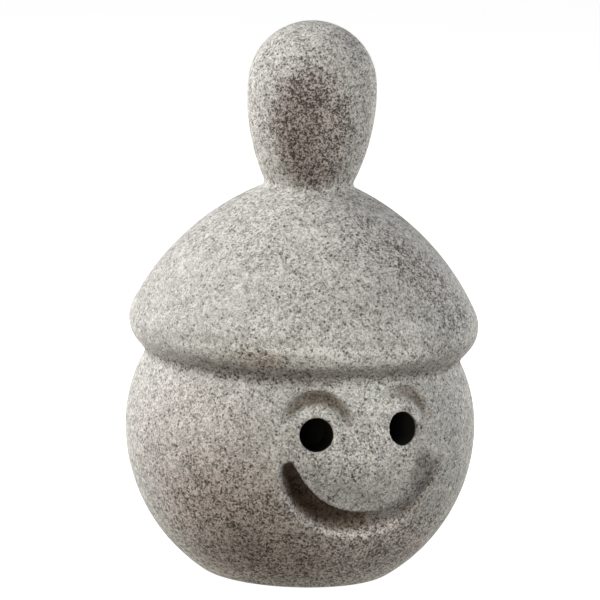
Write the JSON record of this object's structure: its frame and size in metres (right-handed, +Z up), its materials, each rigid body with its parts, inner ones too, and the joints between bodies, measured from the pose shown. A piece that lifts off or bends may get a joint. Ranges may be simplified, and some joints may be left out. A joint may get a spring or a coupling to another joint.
{
  "type": "soapstone elf figure",
  "caption": "Round carved stone head with a smiling face under a wide pointed hat that ends in a long knob, flat below so that it stands by itself.",
  "frame": {"origin": "centre of the flat round underside, on the surface that the figure stands on", "axes": "+Z up through the knob, the figure's longest side, and the face looks towards -Y"},
  "size_m": [0.08, 0.0807, 0.1264],
  "materials": {
    "soapstone": "fine ground, matte, speckled grey"
  },
  "bodies": {
    "root": {"elf_figure": "soapstone"}
  },
  "joints": []
}
